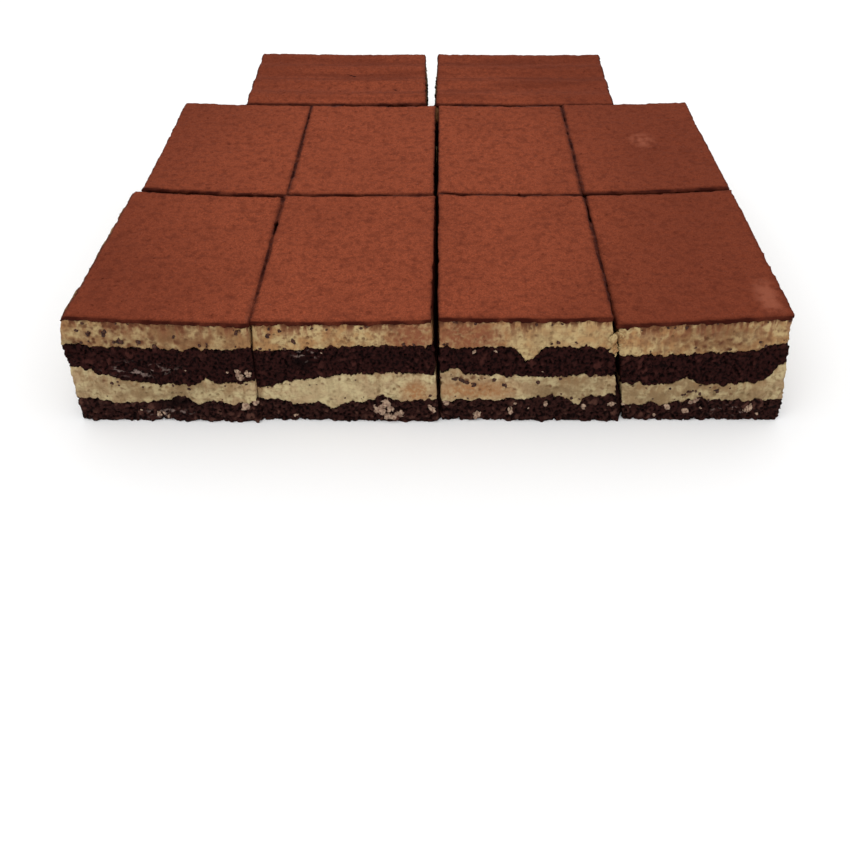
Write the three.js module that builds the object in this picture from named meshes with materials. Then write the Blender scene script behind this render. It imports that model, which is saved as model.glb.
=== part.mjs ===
// Tiramisu cake: a tray bake cut into ten portions that still stand together as one cake.
// Each portion is a stack of five layers, and each layer is a closed solid of its own.
// Millimetres, +Z up, the origin under the middle of the cake's base.

import * as THREE from 'three';

const { degToRad, lerp, seededRandom, smoothstep } = THREE.MathUtils;

// Driving dimensions of one portion
const PORTION_LENGTH = 73;
const PORTION_WIDTH = 51;
const COCOA_DEPTH = 1.4;
const LAYER_GAP = 0.3;

// Nominal height of the base and of the tops of the lower sponge, lower cream and upper sponge
const LEVELS = [0, 7.7, 16.5, 26.7];
const COCOA_BASE_LEVEL = 4;
const TOP_LEVEL = 5;

// How far an open side leans out at each level, from the base to the top
const SLUMP = [2.0, 2.2, 1.8, 1.6, 0.8, 0];
const FRONT_SLUMP_SHARE = 0.6;
const INNER_SLUMP = SLUMP.map((lean) => lean * 0.4);

// Unevenness of the cut faces, as half of the full swing
const OPEN_ROUGHNESS = 0.4;
const RIM_ROUGHNESS = 0.15;
const HIDDEN_ROUGHNESS = 0.12;
const RAGGED_EDGE = 0.35;
const RAGGED_COCOA = 0.2;
const LEVEL_DRIFT = 0.8;
const DENT_REACH = 5;
const FRONT_CUT_REACH = 0.6;

// The top sinks a little between its corners, and two portions keep the spread ripples of the cream
const TOP_SAG = 0.35;
const RIPPLE_COUNT = 3.5;
const RIPPLE_HEIGHT = 0.5;

// Longest edge of a step round a portion
const FRONT_STEP = 1.75;
const OPEN_STEP = 3.6;
const HIDDEN_STEP = 9;
const RIPPLE_STEP = 2.4;
const RIPPLE_RUN_STEP = 6;

const SEED = 417;

const LAYERS = [
  { name: 'sponge_lower', colour: 0x2a1512, roughness: 0.85 },
  { name: 'cream_lower', colour: 0xa08a65, roughness: 0.6 },
  { name: 'sponge_upper', colour: 0x24110e, roughness: 0.8 },
  { name: 'cream_upper', colour: 0x9e7b59, roughness: 0.6 },
  { name: 'cocoa', colour: 0x82402c, roughness: 0.95 },
];

const SIDES = [
  { name: 'front', start: [0, 0], end: [1, 0] },
  { name: 'right', start: [1, 0], end: [1, 1] },
  { name: 'back', start: [1, 1], end: [0, 1] },
  { name: 'left', start: [0, 1], end: [0, 0] },
];

// Front row. rims are the top's heights at the front left, front right, back right and back left.
// cut gives levels 1 to 3 along the front at its left, middle and right.
// dents are local rises of a level: its number, the place from the left, the half width and the rise.
// taper is how much further out an open side stands at its back than at its front.
// lean is how far the foot of the left and the right side stands to the right of its top.
const FRONT_ROW = {
  name: 'front',
  left: -104,
  front: 0,
  depth: PORTION_LENGTH,
  seams: [0.9, 1.45, 1.3],
  portions: [
    {
      width: 51.6,
      setback: -0.9,
      turn: 0.05,
      open: ['front', 'left'],
      rims: [38.8, 36.6, 36.9, 38.9],
      cut: [[8.5, 7.6, 7.9], [18.5, 14.2, 15.9], [28.8, 27.4, 27.9]],
      dents: [
        [1, 9.2, 1.5, -1.2],
        [1, 14.6, 1.5, -1.2],
        [1, 28.9, 3, 2.2],
        [1, 33.4, 1.3, -1.5],
        [1, 45.3, 1.3, -1.4],
        [2, 0, 5, 2.5],
        [2, 37.3, 1.1, 3.2],
      ],
      taper: -2,
      slump: { left: [2.5, 2.6, 2.2, 3.5, 2.4, 0.5] },
    },
    {
      width: 51.9,
      setback: 0,
      turn: -0.45,
      lean: [0, 2.2],
      open: ['front'],
      rims: [36.6, 38, 37.6, 37],
      cut: [[8.3, 7.4, 9.2], [12.5, 17.8, 18.5], [26, 28, 29]],
      dents: [[1, 11.1, 1.6, -1.6], [1, 21.6, 1.3, -2.8], [1, 35.9, 2, 2.7]],
    },
    {
      width: 49.85,
      setback: 0.9,
      turn: 0.1,
      lean: [1.6, 5.2],
      open: ['front'],
      rims: [38.1, 38.7, 37.4, 37.6],
      cut: [[7.5, 9.1, 10.7], [18.1, 17.4, 18], [27.6, 27.9, 28.1]],
      dents: [[1, 38.6, 1.2, -4.6], [2, 3.1, 1.8, 2], [3, 25.6, 1.9, -5]],
    },
    {
      width: 50.8,
      setback: 2,
      turn: 0.55,
      lean: [5.7, 0],
      open: ['front', 'right'],
      rims: [35.6, 39.2, 39.4, 37],
      cut: [[6.5, 7.4, 8.2], [13.9, 13.9, 14.8], [24.6, 25.2, 27.6]],
      dents: [
        [1, 6.6, 1.6, -1.2],
        [1, 12.9, 1.4, -1],
        [1, 25, 2.5, 1.5],
        [1, 31.5, 1.2, 1.2],
        [2, 20.7, 2, 2.6],
        [2, 50.8, 2.9, 7.8],
        [3, 48, 5, 1.6],
      ],
      slump: { right: [1.5, 2, 0.7, -0.8, -0.6, -0.4] },
    },
  ],
};

const MIDDLE_ROW = {
  name: 'middle',
  left: -100.3,
  front: 74.5,
  depth: PORTION_LENGTH,
  seams: [0.9, 1.4, 1.2],
  portions: [
    { width: 49.5, setback: -0.1, turn: -0.5, open: ['left'], rims: [38.8, 36.9, 37.4, 38.4], taper: 1.2 },
    { width: 50.1, setback: -0.1, turn: -0.1, open: [], rims: [37.2, 37.6, 37.6, 37.4] },
    { width: 49.5, setback: 0.7, turn: 0.1, open: [], rims: [37.6, 37.4, 37.4, 37.6] },
    { width: 49.7, setback: 2.6, turn: 0.5, open: ['right'], rims: [37.2, 39.6, 38.6, 37.4] },
  ],
};

// Rear row: two portions turned to lie with their long side across
const REAR_ROW = {
  name: 'rear',
  left: -77.2,
  front: 150.5,
  depth: PORTION_WIDTH,
  seams: [5],
  portions: [
    {
      width: PORTION_LENGTH,
      setback: 0,
      turn: 1,
      open: ['right', 'back', 'left'],
      rims: [37.8, 37.6, 37.6, 38.2],
      slump: { right: INNER_SLUMP },
      rippled: true,
    },
    {
      width: PORTION_LENGTH - 1,
      setback: 0.6,
      turn: -0.6,
      open: ['right', 'back', 'left'],
      rims: [37.4, 37.8, 38.2, 37.6],
      slump: { left: INNER_SLUMP },
      rippled: true,
    },
  ],
};

// A random draw between minus and plus the given amount
function swing(amount) {
  return lerp(-amount, amount, seededRandom());
}

// The parabola through three values at the left, the middle and the right
function alongCut([left, middle, right], u) {
  return left * (1 - u) * (1 - 2 * u) + 4 * middle * u * (1 - u) + right * u * (2 * u - 1);
}

// Three heights round a level's nominal one, for a cut that can't be seen
function drawnCut(level) {
  return [0, 1, 2].map(() => LEVELS[level] + swing(LEVEL_DRIFT));
}

// Number of steps along one side of a portion
function sideSteps(portion, side) {
  const acrossWidth = side.name === 'front' || side.name === 'back';
  const run = acrossWidth ? portion.width : portion.depth;
  if (portion.rippled) {
    return Math.round(run / (acrossWidth ? RIPPLE_RUN_STEP : RIPPLE_STEP));
  }
  if (!portion.open.includes(side.name)) {
    return Math.round(run / HIDDEN_STEP);
  }
  return Math.round(run / (side.name === 'front' ? FRONT_STEP : OPEN_STEP));
}

// Points round a portion as shares of its width and depth, counter-clockwise from the front left
function perimeter(portion) {
  return SIDES.flatMap((side) => {
    const steps = sideSteps(portion, side);
    return Array.from({ length: steps }, (_, step) => ({
      u: lerp(side.start[0], side.end[0], step / steps),
      v: lerp(side.start[1], side.end[1], step / steps),
    }));
  });
}

// Names of the sides that a point of the outline lies on
function sidesAt({ u, v }) {
  return [v === 0 && 'front', u === 1 && 'right', v === 1 && 'back', u === 0 && 'left'].filter(Boolean);
}

// Height of the cake's top over a point of a portion
function topHeight(portion, u, v) {
  const [frontLeft, frontRight, backRight, backLeft] = portion.rims;
  const plane = lerp(lerp(frontLeft, frontRight, u), lerp(backLeft, backRight, u), v);
  const sag = 4 * TOP_SAG * (u * (1 - u) + v * (1 - v));
  const ripple = portion.rippled ? RIPPLE_HEIGHT * Math.cos(2 * Math.PI * RIPPLE_COUNT * v) : 0;
  return plane - sag - ripple;
}

// Height of any level over a point of a portion
function levelHeight(portion, level, u, v) {
  if (level === 0) return 0;
  if (level === TOP_LEVEL) return topHeight(portion, u, v);
  if (level === COCOA_BASE_LEVEL) return topHeight(portion, u, v) - COCOA_DEPTH;
  const front = alongCut(portion.cut[level - 1], u);
  const back = alongCut(portion.backCut[level - 1], u);
  const dents = (portion.dents ?? []).filter(([dentLevel]) => dentLevel === level);
  const rise = dents.reduce((sum, [, place, halfWidth, height]) => {
    const offset = (u * portion.width - place) / halfWidth;
    return sum + height * Math.exp(-(offset ** 2) / 2);
  }, 0);
  const evenHeight = lerp(front, back, smoothstep(v, 0, FRONT_CUT_REACH));
  return evenHeight + rise * Math.exp(-(v * portion.depth) / DENT_REACH);
}

// How far one side of a portion stands out from its straight outline at a level, v of the way back
function sideOffset(portion, side, level, v) {
  if (!portion.open.includes(side)) return swing(HIDDEN_ROUGHNESS);
  const own = portion.slump?.[side];
  const share = side === 'front' ? FRONT_SLUMP_SHARE : 1;
  const roughness = level < COCOA_BASE_LEVEL ? OPEN_ROUGHNESS : RIM_ROUGHNESS;
  const taper = (portion.taper ?? 0) * (side === 'front' ? 0 : v);
  return (own ? own[level] : SLUMP[level] * share) + taper + swing(roughness);
}

// Half of the swing of a level's edge where it shows at a cut
function edgeRaggedness(level) {
  if (level === 0 || level === TOP_LEVEL) return 0;
  return level === COCOA_BASE_LEVEL ? RAGGED_COCOA : RAGGED_EDGE;
}

// The outline of a portion at one level, as points of the portion's own frame
function levelRing(portion, level) {
  return perimeter(portion).map((point) => {
    const { u, v } = point;
    const sides = sidesAt(point);
    const place = new THREE.Vector3((u - 0.5) * portion.width, (v - 0.5) * portion.depth, 0);
    sides.forEach((side) => {
      const offset = sideOffset(portion, side, level, v);
      if (side === 'left' || side === 'right') place.x += side === 'right' ? offset : -offset;
      else place.y += side === 'back' ? offset : -offset;
    });
    const [leftLean, rightLean] = portion.lean ?? [0, 0];
    const height = levelHeight(portion, level, u, v);
    place.x += lerp(leftLean, rightLean, u) * (1 - height / topHeight(portion, u, v));
    const shows = sides.some((side) => portion.open.includes(side));
    place.z = height + (shows ? swing(edgeRaggedness(level)) : 0);
    return place;
  });
}

// Triangles that close a ring round one point in its middle
function fanCap(ring, positions, middle) {
  const centre = positions.push(middle) - 1;
  return ring.map((index, step) => [index, ring[(step + 1) % ring.length], centre]);
}

// Triangles that close a rippled ring with a grid, so that the ripples run right across it
function gridCap(portion, ring, positions, level, lift) {
  const [columns, rows] = SIDES.map((side) => sideSteps(portion, side));
  const inner = new Map();
  const indexAt = (column, row) => {
    if (row === 0) return ring[column];
    if (column === columns) return ring[columns + row];
    if (row === rows) return ring[2 * columns + rows - column];
    if (column === 0) return ring[(2 * columns + 2 * rows - row) % ring.length];
    const key = row * columns + column;
    if (!inner.has(key)) {
      const [u, v] = [column / columns, row / rows];
      const height = levelHeight(portion, level, u, v) + lift;
      const place = new THREE.Vector3((u - 0.5) * portion.width, (v - 0.5) * portion.depth, height);
      inner.set(key, positions.push(place) - 1);
    }
    return inner.get(key);
  };
  const triangles = [];
  for (let row = 0; row < rows; row++) {
    for (let column = 0; column < columns; column++) {
      const corners = [[0, 0], [1, 0], [1, 1], [0, 1]];
      const [a, b, c, d] = corners.map(([right, back]) => indexAt(column + right, row + back));
      triangles.push([a, b, c], [a, c, d]);
    }
  }
  return triangles;
}

// Triangles that close a layer at one of its levels, seen from above
function levelCap(portion, ring, positions, level, lift) {
  if (portion.rippled && level >= COCOA_BASE_LEVEL) {
    return gridCap(portion, ring, positions, level, lift);
  }
  const middle = new THREE.Vector3(0, 0, levelHeight(portion, level, 0.5, 0.5) + lift);
  return fanCap(ring, positions, middle);
}

// The closed solid of one layer, between the outlines of two levels
function layerGeometry(portion, lower) {
  const upper = lower + 1;
  const lowerLift = lower === 0 ? 0 : LAYER_GAP / 2;
  const upperLift = upper === TOP_LEVEL ? 0 : -LAYER_GAP / 2;
  const positions = [];
  const addRing = (level, lift) => portion.rings[level].map((place) => {
    return positions.push(place.clone().setZ(place.z + lift)) - 1;
  });
  const lowerRing = addRing(lower, lowerLift);
  const upperRing = addRing(upper, upperLift);
  const walls = lowerRing.flatMap((corner, step) => {
    const next = (step + 1) % lowerRing.length;
    return [[corner, lowerRing[next], upperRing[next]], [corner, upperRing[next], upperRing[step]]];
  });
  const floor = levelCap(portion, lowerRing, positions, lower, lowerLift).map(([a, b, c]) => [b, a, c]);
  const roof = levelCap(portion, upperRing, positions, upper, upperLift);
  const geometry = new THREE.BufferGeometry().setFromPoints(positions);
  geometry.setIndex([...walls, ...floor, ...roof].flat());
  geometry.computeVertexNormals();
  return geometry;
}

// One portion: a group with its five layers, placed and turned in the cake
function makePortion(portion) {
  const drawn = LEVELS.map((_, level) => drawnCut(level)).slice(1);
  const backCut = LEVELS.map((_, level) => drawnCut(level)).slice(1);
  const shaped = { cut: drawn, ...portion, backCut };
  shaped.rings = Array.from({ length: TOP_LEVEL + 1 }, (_, level) => levelRing(shaped, level));
  const group = new THREE.Group();
  LAYERS.forEach(({ name, colour, roughness }, lower) => {
    const material = new THREE.MeshStandardMaterial({ color: colour, roughness, metalness: 0 });
    const layer = new THREE.Mesh(layerGeometry(shaped, lower), material);
    layer.name = `${portion.name}_${name}`;
    group.add(layer);
  });
  group.position.set(portion.x, portion.y, 0);
  group.rotation.z = degToRad(portion.turn);
  return group;
}

// A row of portions from left to right, parted by its seams
function makeRow(row) {
  let left = row.left;
  return row.portions.map((portion, column) => {
    const x = left + portion.width / 2;
    const y = row.front + portion.setback + row.depth / 2;
    left += portion.width + (row.seams[column] ?? 0);
    return makePortion({ ...portion, name: `${row.name}_${column + 1}`, depth: row.depth, x, y });
  });
}

seededRandom(SEED);
const cake = new THREE.Group();
cake.add(...[FRONT_ROW, MIDDLE_ROW, REAR_ROW].flatMap(makeRow));
cake.updateMatrixWorld(true);

// The base's middle becomes the origin
const box = new THREE.Box3().setFromObject(cake, true);
const middle = box.getCenter(new THREE.Vector3());
cake.position.set(-middle.x, -middle.y, -box.min.z);
cake.updateMatrixWorld(true);

export default cake;
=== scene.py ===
"""Looks of a tiramisu cake: ten cut portions of dark sponge, cream and dusted cocoa."""

import logging
import math
from collections.abc import Iterator
from contextlib import contextmanager
from dataclasses import dataclass, field
from enum import Enum

import bpy
import numpy as np
from mathutils import Color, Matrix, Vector
from mathutils.kdtree import KDTree


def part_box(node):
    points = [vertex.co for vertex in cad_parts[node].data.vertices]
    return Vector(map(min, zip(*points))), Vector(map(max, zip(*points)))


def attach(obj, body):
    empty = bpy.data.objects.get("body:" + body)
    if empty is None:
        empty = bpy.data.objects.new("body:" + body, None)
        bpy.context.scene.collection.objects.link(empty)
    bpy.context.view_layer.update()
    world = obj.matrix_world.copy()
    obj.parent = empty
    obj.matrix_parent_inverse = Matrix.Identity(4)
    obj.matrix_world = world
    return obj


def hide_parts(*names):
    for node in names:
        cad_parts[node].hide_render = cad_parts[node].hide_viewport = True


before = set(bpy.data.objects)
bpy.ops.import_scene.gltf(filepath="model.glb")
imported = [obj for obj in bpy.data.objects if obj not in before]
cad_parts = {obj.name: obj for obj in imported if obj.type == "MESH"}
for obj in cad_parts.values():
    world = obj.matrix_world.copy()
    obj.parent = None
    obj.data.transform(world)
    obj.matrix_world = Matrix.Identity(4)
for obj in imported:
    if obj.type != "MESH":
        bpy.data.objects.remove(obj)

LOG = logging.getLogger("tiramisu")
MM = 0.001
BODY = "root"
SEED = 2718

Array = np.ndarray
Colour = tuple[float, float, float]
Material = bpy.types.Material
Mesh = bpy.types.Mesh
Piece = bpy.types.Object
Socket = bpy.types.NodeSocket
Triple = tuple[float, float, float]
Value = Socket | Colour | list[float] | float


class Side(Enum):
    """A side of a portion, with its outward direction across the floor."""

    FRONT = (0.0, -1.0)
    RIGHT = (1.0, 0.0)
    BACK = (0.0, 1.0)
    LEFT = (-1.0, 0.0)


class Elements(Enum):
    """What edit mode selects, by the mesh's name for it."""

    VERTICES = "vertices"
    EDGES = "edges"
    FACES = "polygons"


class Slot(Enum):
    """The record's material slots."""

    COCOA = "cocoa"
    CREAM = "cream"
    SPONGE = "sponge"


# Reading and choosing mesh elements

INTEGERS = ("vertices", "vertex_index", "edge_index", "loop_total")


def read(items: bpy.types.bpy_prop_collection, name: str, width: int = 1) -> Array:
    """Reads one property of every mesh element.

    Args:
        items: the vertices, edges, faces or loops of a mesh.
        name: the property's name.
        width: how many numbers each element has.

    Returns:
        An array with a row for each element.
    """
    kind = np.int32 if name in INTEGERS else np.float32
    values = np.zeros(len(items) * width, kind)
    items.foreach_get(name, values)
    return values.reshape(-1, width) if width > 1 else values


def places(piece: Piece) -> Array:
    """Returns where a piece's vertices are, in metres."""
    return read(piece.data.vertices, "co", 3)


def vertices_of_faces(mesh: Mesh, faces: Array) -> Array:
    """Marks the vertices that any of the marked faces has."""
    used = read(mesh.loops, "vertex_index")[np.repeat(faces, read(mesh.polygons, "loop_total"))]
    return np.isin(np.arange(len(mesh.vertices)), used)


def gaps_to(spots: Array, marked: Array) -> Array:
    """Measures how far places are from the nearest marked one.

    Args:
        spots: the places.
        marked: True for each place that counts.

    Returns:
        A distance for each place, 0 for the marked ones.
    """
    tree = KDTree(int(marked.sum()))
    for number, spot in enumerate(spots[marked]):
        tree.insert(spot, number)
    tree.balance()
    return np.array([0 if counted else tree.find(spot)[2] for spot, counted in zip(spots, marked)])


def below(values: Array, level: float, depth: float) -> Array:
    """Returns 0 for values above a level, rising to 1 at some depth below it."""
    return np.clip((level - values) / depth, 0, 1)


def faces_per_edge(mesh: Mesh) -> Array:
    """Returns how many faces meet at each edge of a mesh."""
    return np.bincount(read(mesh.loops, "edge_index"), minlength=len(mesh.edges))


def note(mesh: Mesh, name: str, values: Array) -> None:
    """Keeps a number at each vertex of a mesh, for its material."""
    mesh.attributes.new(name, "FLOAT", "POINT").data.foreach_set("value", values.astype(np.float32))


def hold(piece: Piece, name: str, weights: Array, levels: int = 8) -> None:
    """Makes a vertex group.

    Args:
        piece: the piece that gets it.
        name: the group's name.
        weights: the weight of each vertex, from 0 to 1.
        levels: how many steps the weights are rounded to.
    """
    group = piece.vertex_groups.new(name=name)
    rounded = np.ceil(weights * levels)
    for level in range(1, levels + 1):
        group.add(np.flatnonzero(rounded == level).tolist(), level / levels, "REPLACE")


def make_active(piece: Piece) -> None:
    """Makes a piece the only selected object, and the active one."""
    bpy.ops.object.select_all(action="DESELECT")
    piece.select_set(True)
    bpy.context.view_layer.objects.active = piece


@contextmanager
def chosen(piece: Piece, elements: Elements, mask: Array) -> Iterator[None]:
    """Opens a piece in edit mode with some of its elements selected, and nothing else.

    Args:
        piece: the piece to edit.
        elements: the kind of element.
        mask: True for each element to select.
    """
    for kind in Elements:
        items = getattr(piece.data, kind.value)
        items.foreach_set("select", mask if kind is elements else np.zeros(len(items), bool))
    make_active(piece)
    bpy.context.tool_settings.mesh_select_mode = [kind is elements for kind in Elements]
    bpy.ops.object.mode_set(mode="EDIT")
    yield
    bpy.ops.object.mode_set(mode="OBJECT")


def apply_modifiers(piece: Piece) -> None:
    """Applies every modifier of a piece, in order."""
    make_active(piece)
    for name in [modifier.name for modifier in piece.modifiers]:
        bpy.ops.object.modifier_apply(modifier=name)


def copy_of_node(node: str, name: str) -> Piece:
    """Copies a solid as the start of the piece that stands for it.

    Args:
        node: the solid's name.
        name: the new piece's name.

    Returns:
        The copy, with its loose triangles merged and no normals of its own.
    """
    piece = bpy.data.objects.new(name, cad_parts[node].data.copy())
    piece.data.materials.clear()
    bpy.context.scene.collection.objects.link(piece)
    with chosen(piece, Elements.VERTICES, np.ones(len(piece.data.vertices), bool)):
        bpy.ops.mesh.remove_doubles(threshold=0.001 * MM)
    bpy.ops.mesh.customdata_custom_splitnormals_clear()
    return piece


def hand_over(piece: Piece, finish: Material, node: str | None = None) -> None:
    """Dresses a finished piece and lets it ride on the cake.

    Args:
        piece: the finished piece.
        finish: its material.
        node: the solid that it stands for, if any.
    """
    piece.data.materials.append(finish)
    make_active(piece)
    bpy.ops.object.shade_smooth()
    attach(piece, BODY)
    if node:
        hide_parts(node)
    LOG.info("%s: %d faces", piece.name, len(piece.data.polygons))


# Relief


class Push(Enum):
    """The way that relief moves a surface, by Blender's name for it."""

    OUTWARD = "NORMAL"
    UP = "Z"


@dataclass(frozen=True)
class Relief:
    """An uneven surface: a pattern that pushes a mesh in and out.

    Attributes:
        name: what the relief is.
        grain: the size of its grains, in millimetres.
        depth: the full swing of the surface, in millimetres.
        push: the way that it moves the surface.
        group: the vertex group that it is held to, or none.
        hard: whether the grains have creases between them.
        middle: the pattern's value that leaves the surface where it is.
        pits: the part of a pattern of cells that sinks in, from its floor to its rim.
    """

    name: str
    grain: float
    depth: float
    push: Push = Push.OUTWARD
    group: str = ""
    hard: bool = False
    middle: float = 0.5
    pits: tuple[float, float] | None = None

    def texture(self) -> bpy.types.Texture:
        """Returns the relief's texture, made once."""
        made = bpy.data.textures.get(self.name)
        if made:
            return made
        made = bpy.data.textures.new(self.name, type="VORONOI" if self.pits else "CLOUDS")
        made.noise_scale = self.grain * MM
        if not self.pits:
            made.noise_depth = 2
            made.noise_type = "HARD_NOISE" if self.hard else "SOFT_NOISE"
            return made
        made.use_color_ramp = True
        for stop, place, level in zip(made.color_ramp.elements, self.pits, (0, 1)):
            stop.position = place
            stop.color = (level, level, level, 1)
        return made

    def press(self, piece: Piece) -> None:
        """Adds the relief to a piece as a modifier."""
        modifier = piece.modifiers.new(self.name, "DISPLACE")
        modifier.texture = self.texture()
        modifier.texture_coords = "LOCAL"
        modifier.direction = self.push.value
        modifier.strength = self.depth * MM
        modifier.mid_level = self.middle
        modifier.vertex_group = self.group


# Materials

# How strongly the tops and the cut faces are lit
TOP_LIGHT = 1.2
CUT_LIGHT = 1.05


def tone(red: int, green: int, blue: int, light: float = CUT_LIGHT) -> Colour:
    """Returns the surface's own colour for one that shows on a screen, from 0 to 255, under some light."""
    linear = Color((red / 255, green / 255, blue / 255)).from_srgb_to_scene_linear()
    return tuple(min(value / light, 1.0) for value in linear)


@dataclass(frozen=True)
class Patch:
    """A soft patch on the cake, by its middle and its reach along each axis, in millimetres."""

    centre: Triple
    reach: Triple


Patches = tuple[Patch, ...]


class Graph:
    """The node graph of one procedural material, which lays one colour over another."""

    def __init__(self, name: str, colour: Colour) -> None:
        """Starts a material with a plain shader and its first colour."""
        self.material = bpy.data.materials.new(name)
        self.material.use_nodes = True
        self.nodes = self.material.node_tree.nodes
        self.links = self.material.node_tree.links
        self.place = self.add("TexCoord", {})["Object"]
        self.colour: Socket | Colour = colour

    def plug(self, value: Value, socket: Socket) -> None:
        """Links a socket to an input, or sets the input's value."""
        if isinstance(value, Socket):
            self.links.new(value, socket)
        else:
            socket.default_value = (*value, 1.0) if isinstance(value, tuple) else value

    def add(self, kind: str, inputs: dict[str | int, Value], **settings: str) -> bpy.types.NodeOutputs:
        """Adds a node.

        Args:
            kind: its type, without Blender's prefix.
            inputs: what its inputs get, by name or number.
            settings: its other properties.

        Returns:
            Its outputs.
        """
        node = self.nodes.new(f"ShaderNode{kind}")
        for name, setting in settings.items():
            setattr(node, name, setting)
        for key, value in inputs.items():
            self.plug(value, node.inputs[key])
        return node.outputs

    def coat(self, share: Socket, colour: Colour) -> None:
        """Lays a colour over what the material has so far, by a share from 0 to 1."""
        self.colour = self.add("Mix", {0: share, 6: self.colour, 7: colour}, data_type="RGBA")[2]

    def noise(self, grain: float, detail: float = 2.0, stretch: Triple = (1, 1, 1)) -> Socket:
        """Adds a soft noise.

        Args:
            grain: the size of its grains, in metres.
            detail: how many finer noises it holds.
            stretch: how much longer a grain is along each axis.

        Returns:
            The noise's value, around a half.
        """
        scale = [1 / (grain * share) for share in stretch]
        spot = self.add("Mapping", {"Vector": self.place, "Scale": scale})["Vector"]
        return self.add("TexNoise", {"Vector": spot, "Scale": 1.0, "Detail": detail})["Fac"]

    def dots(self, spacing: float, size: float, share: float, wobble: float, core: float = 0.5) -> Socket:
        """Adds uneven dots, each in a cell of its own.

        Args:
            spacing: the distance between cells, in metres.
            size: a dot's radius, in metres.
            share: how many of the cells hold a dot.
            wobble: how far its outline strays, in metres.
            core: the share of its radius where it is full.

        Returns:
            A value from 0 between the dots to 1 inside them.
        """
        stray = self.add("TexNoise", {"Vector": self.place, "Scale": 0.7 / size})["Color"]
        shifted = {0: stray, 1: [wobble] * 3, 2: self.place}
        spot = self.add("VectorMath", shifted, operation="MULTIPLY_ADD")["Vector"]
        cells = self.add("TexVoronoi", {"Vector": spot, "Scale": 1 / spacing})
        drawn = self.add("SeparateColor", {"Color": cells["Color"]})["Red"]
        radius = size / spacing
        inside = self.span(cells["Distance"], radius, core * radius)
        return self.times(self.math("LESS_THAN", drawn, share), inside)

    def span(self, value: Socket, low: float, high: float, to_low: float = 0, to_high: float = 1) -> Socket:
        """Maps a value smoothly from the range between low and high onto the range between the other two."""
        ends = {0: value, 1: low, 2: high, 3: to_low, 4: to_high}
        return self.add("MapRange", ends, interpolation_type="SMOOTHSTEP")["Result"]

    def math(self, operation: str, first: Socket, second: Socket | float) -> Socket:
        """Adds a sum, a product or the like of two values, and returns it."""
        return self.add("Math", {0: first, 1: second}, operation=operation)["Value"]

    def times(self, first: Socket, second: Socket | float) -> Socket:
        """Returns the product of two values."""
        return self.math("MULTIPLY", first, second)

    def kept(self, name: str) -> Socket:
        """Returns a number that the mesh keeps at each of its vertices."""
        return self.add("Attribute", {}, attribute_name=name)["Fac"]

    def nearness(self, patch: Patch) -> Socket:
        """Returns a value from 1 in the middle of a patch to 0 at its rim."""
        shift = [-c / r for c, r in zip(patch.centre, patch.reach)]
        scale = [1 / (r * MM) for r in patch.reach]
        spot = self.add("Mapping", {"Vector": self.place, "Location": shift, "Scale": scale})["Vector"]
        return self.span(self.add("VectorMath", {0: spot}, operation="LENGTH")["Value"], 1.0, 0.2)

    def anywhere_near(self, patches: Patches) -> Socket:
        """Returns the greatest nearness to any of some patches."""
        near = self.nearness(patches[0])
        for patch in patches[1:]:
            near = self.math("MAXIMUM", near, self.nearness(patch))
        return near

    def finish(self, roughness: Socket | float, specular: float, *heights: tuple[Socket, float]) -> Material:
        """Sets the shader's inputs.

        Args:
            roughness: how matte the surface is.
            specular: how strongly it mirrors.
            heights: values for fine relief, with the height in metres that each swings over.

        Returns:
            The finished material.
        """
        inputs = {"Base Color": self.colour, "Roughness": roughness, "Specular IOR Level": specular}
        for height, depth in heights:
            below = {"Normal": inputs["Normal"]} if "Normal" in inputs else {}
            inputs["Normal"] = self.add("Bump", {"Height": height, "Distance": depth, **below})["Normal"]
        for name, value in inputs.items():
            self.plug(value, self.nodes["Principled BSDF"].inputs[name])
        return self.material


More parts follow.
